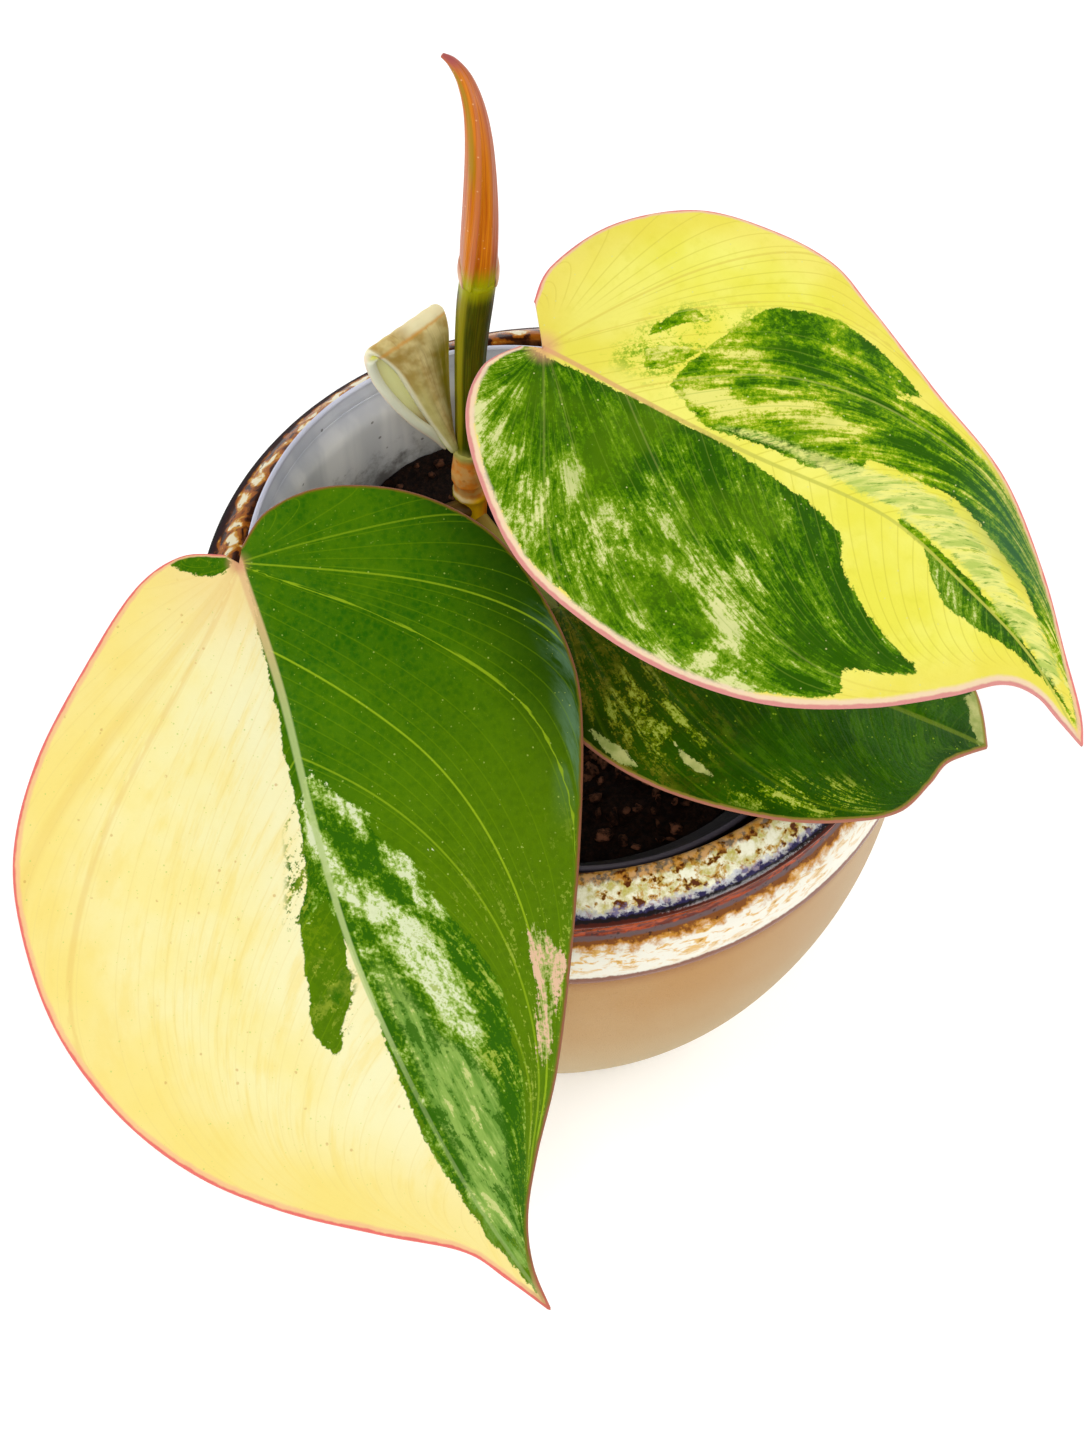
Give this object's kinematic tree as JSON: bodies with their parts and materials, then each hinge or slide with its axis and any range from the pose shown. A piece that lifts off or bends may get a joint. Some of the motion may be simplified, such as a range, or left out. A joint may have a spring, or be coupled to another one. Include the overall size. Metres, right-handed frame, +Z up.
{
  "type": "potted variegated micans philodendron",
  "caption": "Small house plant with heart-shaped cream, yellow and green leaves, a papery sheath and a rolled new leaf, in a leaning nursery pot inside a glazed stoneware cover pot.",
  "frame": {"origin": "centre of the cover pot's flat base", "axes": "+Z up out of the pot; -Y towards the side the plant is seen from, with the cream and green leaf hanging over the rim to the front left"},
  "size_m": [0.1411, 0.1496, 0.1706],
  "materials": {
    "stoneware": "matte tan clay below, glossy brown and cream reactive glaze on the rim",
    "grey_plastic": "satin grey",
    "potting_mix": "rough, dark, with brown chunks",
    "stem_tissue": "satin orange-tan with a swollen ringed joint",
    "petiole_pink": "satin pinkish green",
    "petiole_green": "satin green",
    "petiole_pale": "satin pale green",
    "leaf_yellow_green": "satin yellow marbled with green, thin pink margin",
    "leaf_cream_green": "satin, one half cream and one half green, thin pink margin",
    "leaf_dark_green": "satin dark green flecked with yellow",
    "cataphyll_papery": "thin, cream and pale green with brown veins",
    "stalk_green": "satin olive green with a paler stripe",
    "new_leaf_bronze": "satin bronze with dark lengthwise lines and pink margins"
  },
  "bodies": {
    "root": {"pot": "stoneware", "nursery_pot": "grey_plastic", "soil": "potting_mix", "stem": "stem_tissue", "petiole_1": "petiole_pink", "petiole_2": "petiole_green", "petiole_3": "petiole_pale", "leaf_1": "leaf_yellow_green", "leaf_2": "leaf_cream_green", "leaf_3": "leaf_dark_green", "cataphyll": "cataphyll_papery", "new_leaf_stalk": "stalk_green", "new_leaf": "new_leaf_bronze"}
  },
  "joints": []
}
